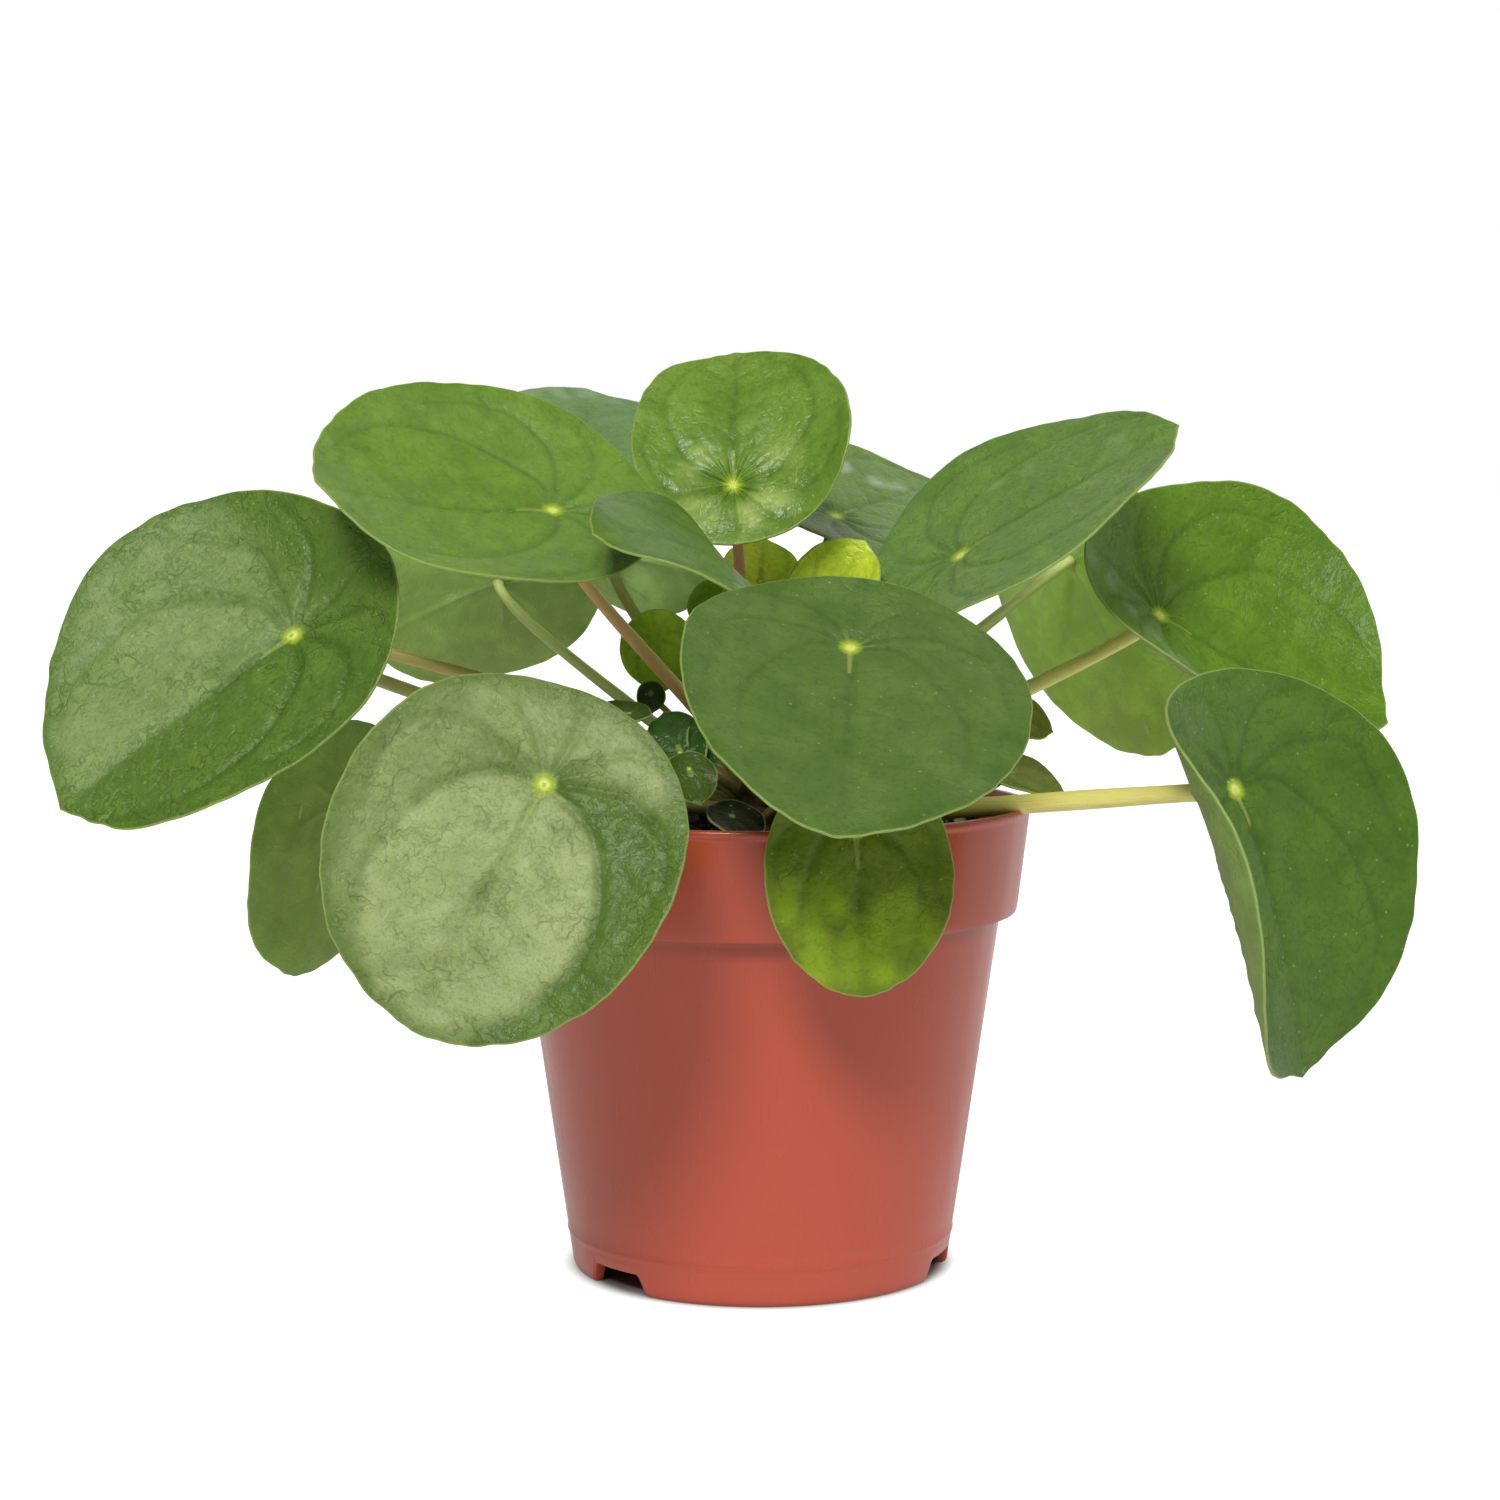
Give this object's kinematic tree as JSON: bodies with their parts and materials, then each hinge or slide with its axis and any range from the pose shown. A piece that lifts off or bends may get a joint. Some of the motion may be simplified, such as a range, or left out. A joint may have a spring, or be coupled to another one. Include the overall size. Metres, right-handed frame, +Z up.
{
  "type": "potted chinese money plant",
  "caption": "Bushy house plant with round, coin-like leaves on long stalks, growing from a short woody stem in a tapered terracotta-coloured plastic pot.",
  "frame": {"origin": "centre of the underside of the pot's base, on the pot's axis", "axes": "+Z up along the pot's axis, -Y towards the front of the plant, +X to the right as seen from the front"},
  "size_m": [0.292, 0.2268, 0.2035],
  "materials": {
    "pot_plastic": "satin moulded terracotta-coloured plastic",
    "potting_soil": "damp dark peat with fibres",
    "woody_stem": "rough brown bark with leaf scars",
    "mature_leaf": "semi-gloss veined green with a pale hub spot, paler underneath",
    "young_leaf": "semi-gloss fresh yellow-green",
    "leaf_stalk": "satin green-brown with a light side"
  },
  "bodies": {
    "root": {"pot": "pot_plastic", "soil": "potting_soil", "main_stem": "woody_stem", "leaf_far_left": "mature_leaf", "stalk_far_left": "leaf_stalk", "leaf_upper_left": "mature_leaf", "stalk_upper_left": "leaf_stalk", "leaf_centre_edge": "mature_leaf", "stalk_centre_edge": "leaf_stalk", "leaf_top": "mature_leaf", "stalk_top": "leaf_stalk", "leaf_back_upper_left": "mature_leaf", "stalk_back_upper_left": "leaf_stalk", "leaf_back_upper_right": "mature_leaf", "stalk_back_upper_right": "leaf_stalk", "leaf_upper_right": "mature_leaf", "stalk_upper_right": "leaf_stalk", "leaf_far_right": "mature_leaf", "stalk_far_right": "leaf_stalk", "leaf_lower_right": "mature_leaf", "stalk_lower_right": "leaf_stalk", "leaf_front_centre": "mature_leaf", "stalk_front_centre": "leaf_stalk", "leaf_front_left": "mature_leaf", "stalk_front_left": "leaf_stalk", "leaf_front_low": "mature_leaf", "stalk_front_low": "leaf_stalk", "leaf_lower_left": "mature_leaf", "stalk_lower_left": "leaf_stalk", "leaf_back_left": "mature_leaf", "stalk_back_left": "leaf_stalk", "leaf_back_right": "mature_leaf", "stalk_back_right": "leaf_stalk", "leaf_back_centre": "mature_leaf", "stalk_back_centre": "leaf_stalk", "leaf_back_far_left": "mature_leaf", "stalk_back_far_left": "leaf_stalk", "leaf_rear_left": "mature_leaf", "stalk_rear_left": "leaf_stalk", "leaf_rear_centre": "mature_leaf", "stalk_rear_centre": "leaf_stalk", "leaf_rear_right": "mature_leaf", "stalk_rear_right": "leaf_stalk", "young_round": "young_leaf", "young_bright": "young_leaf", "young_olive": "young_leaf", "young_folded": "young_leaf", "young_tiny": "young_leaf", "young_low": "young_leaf", "plantlet_front_left": "young_leaf", "plantlet_right": "young_leaf"}
  },
  "joints": []
}
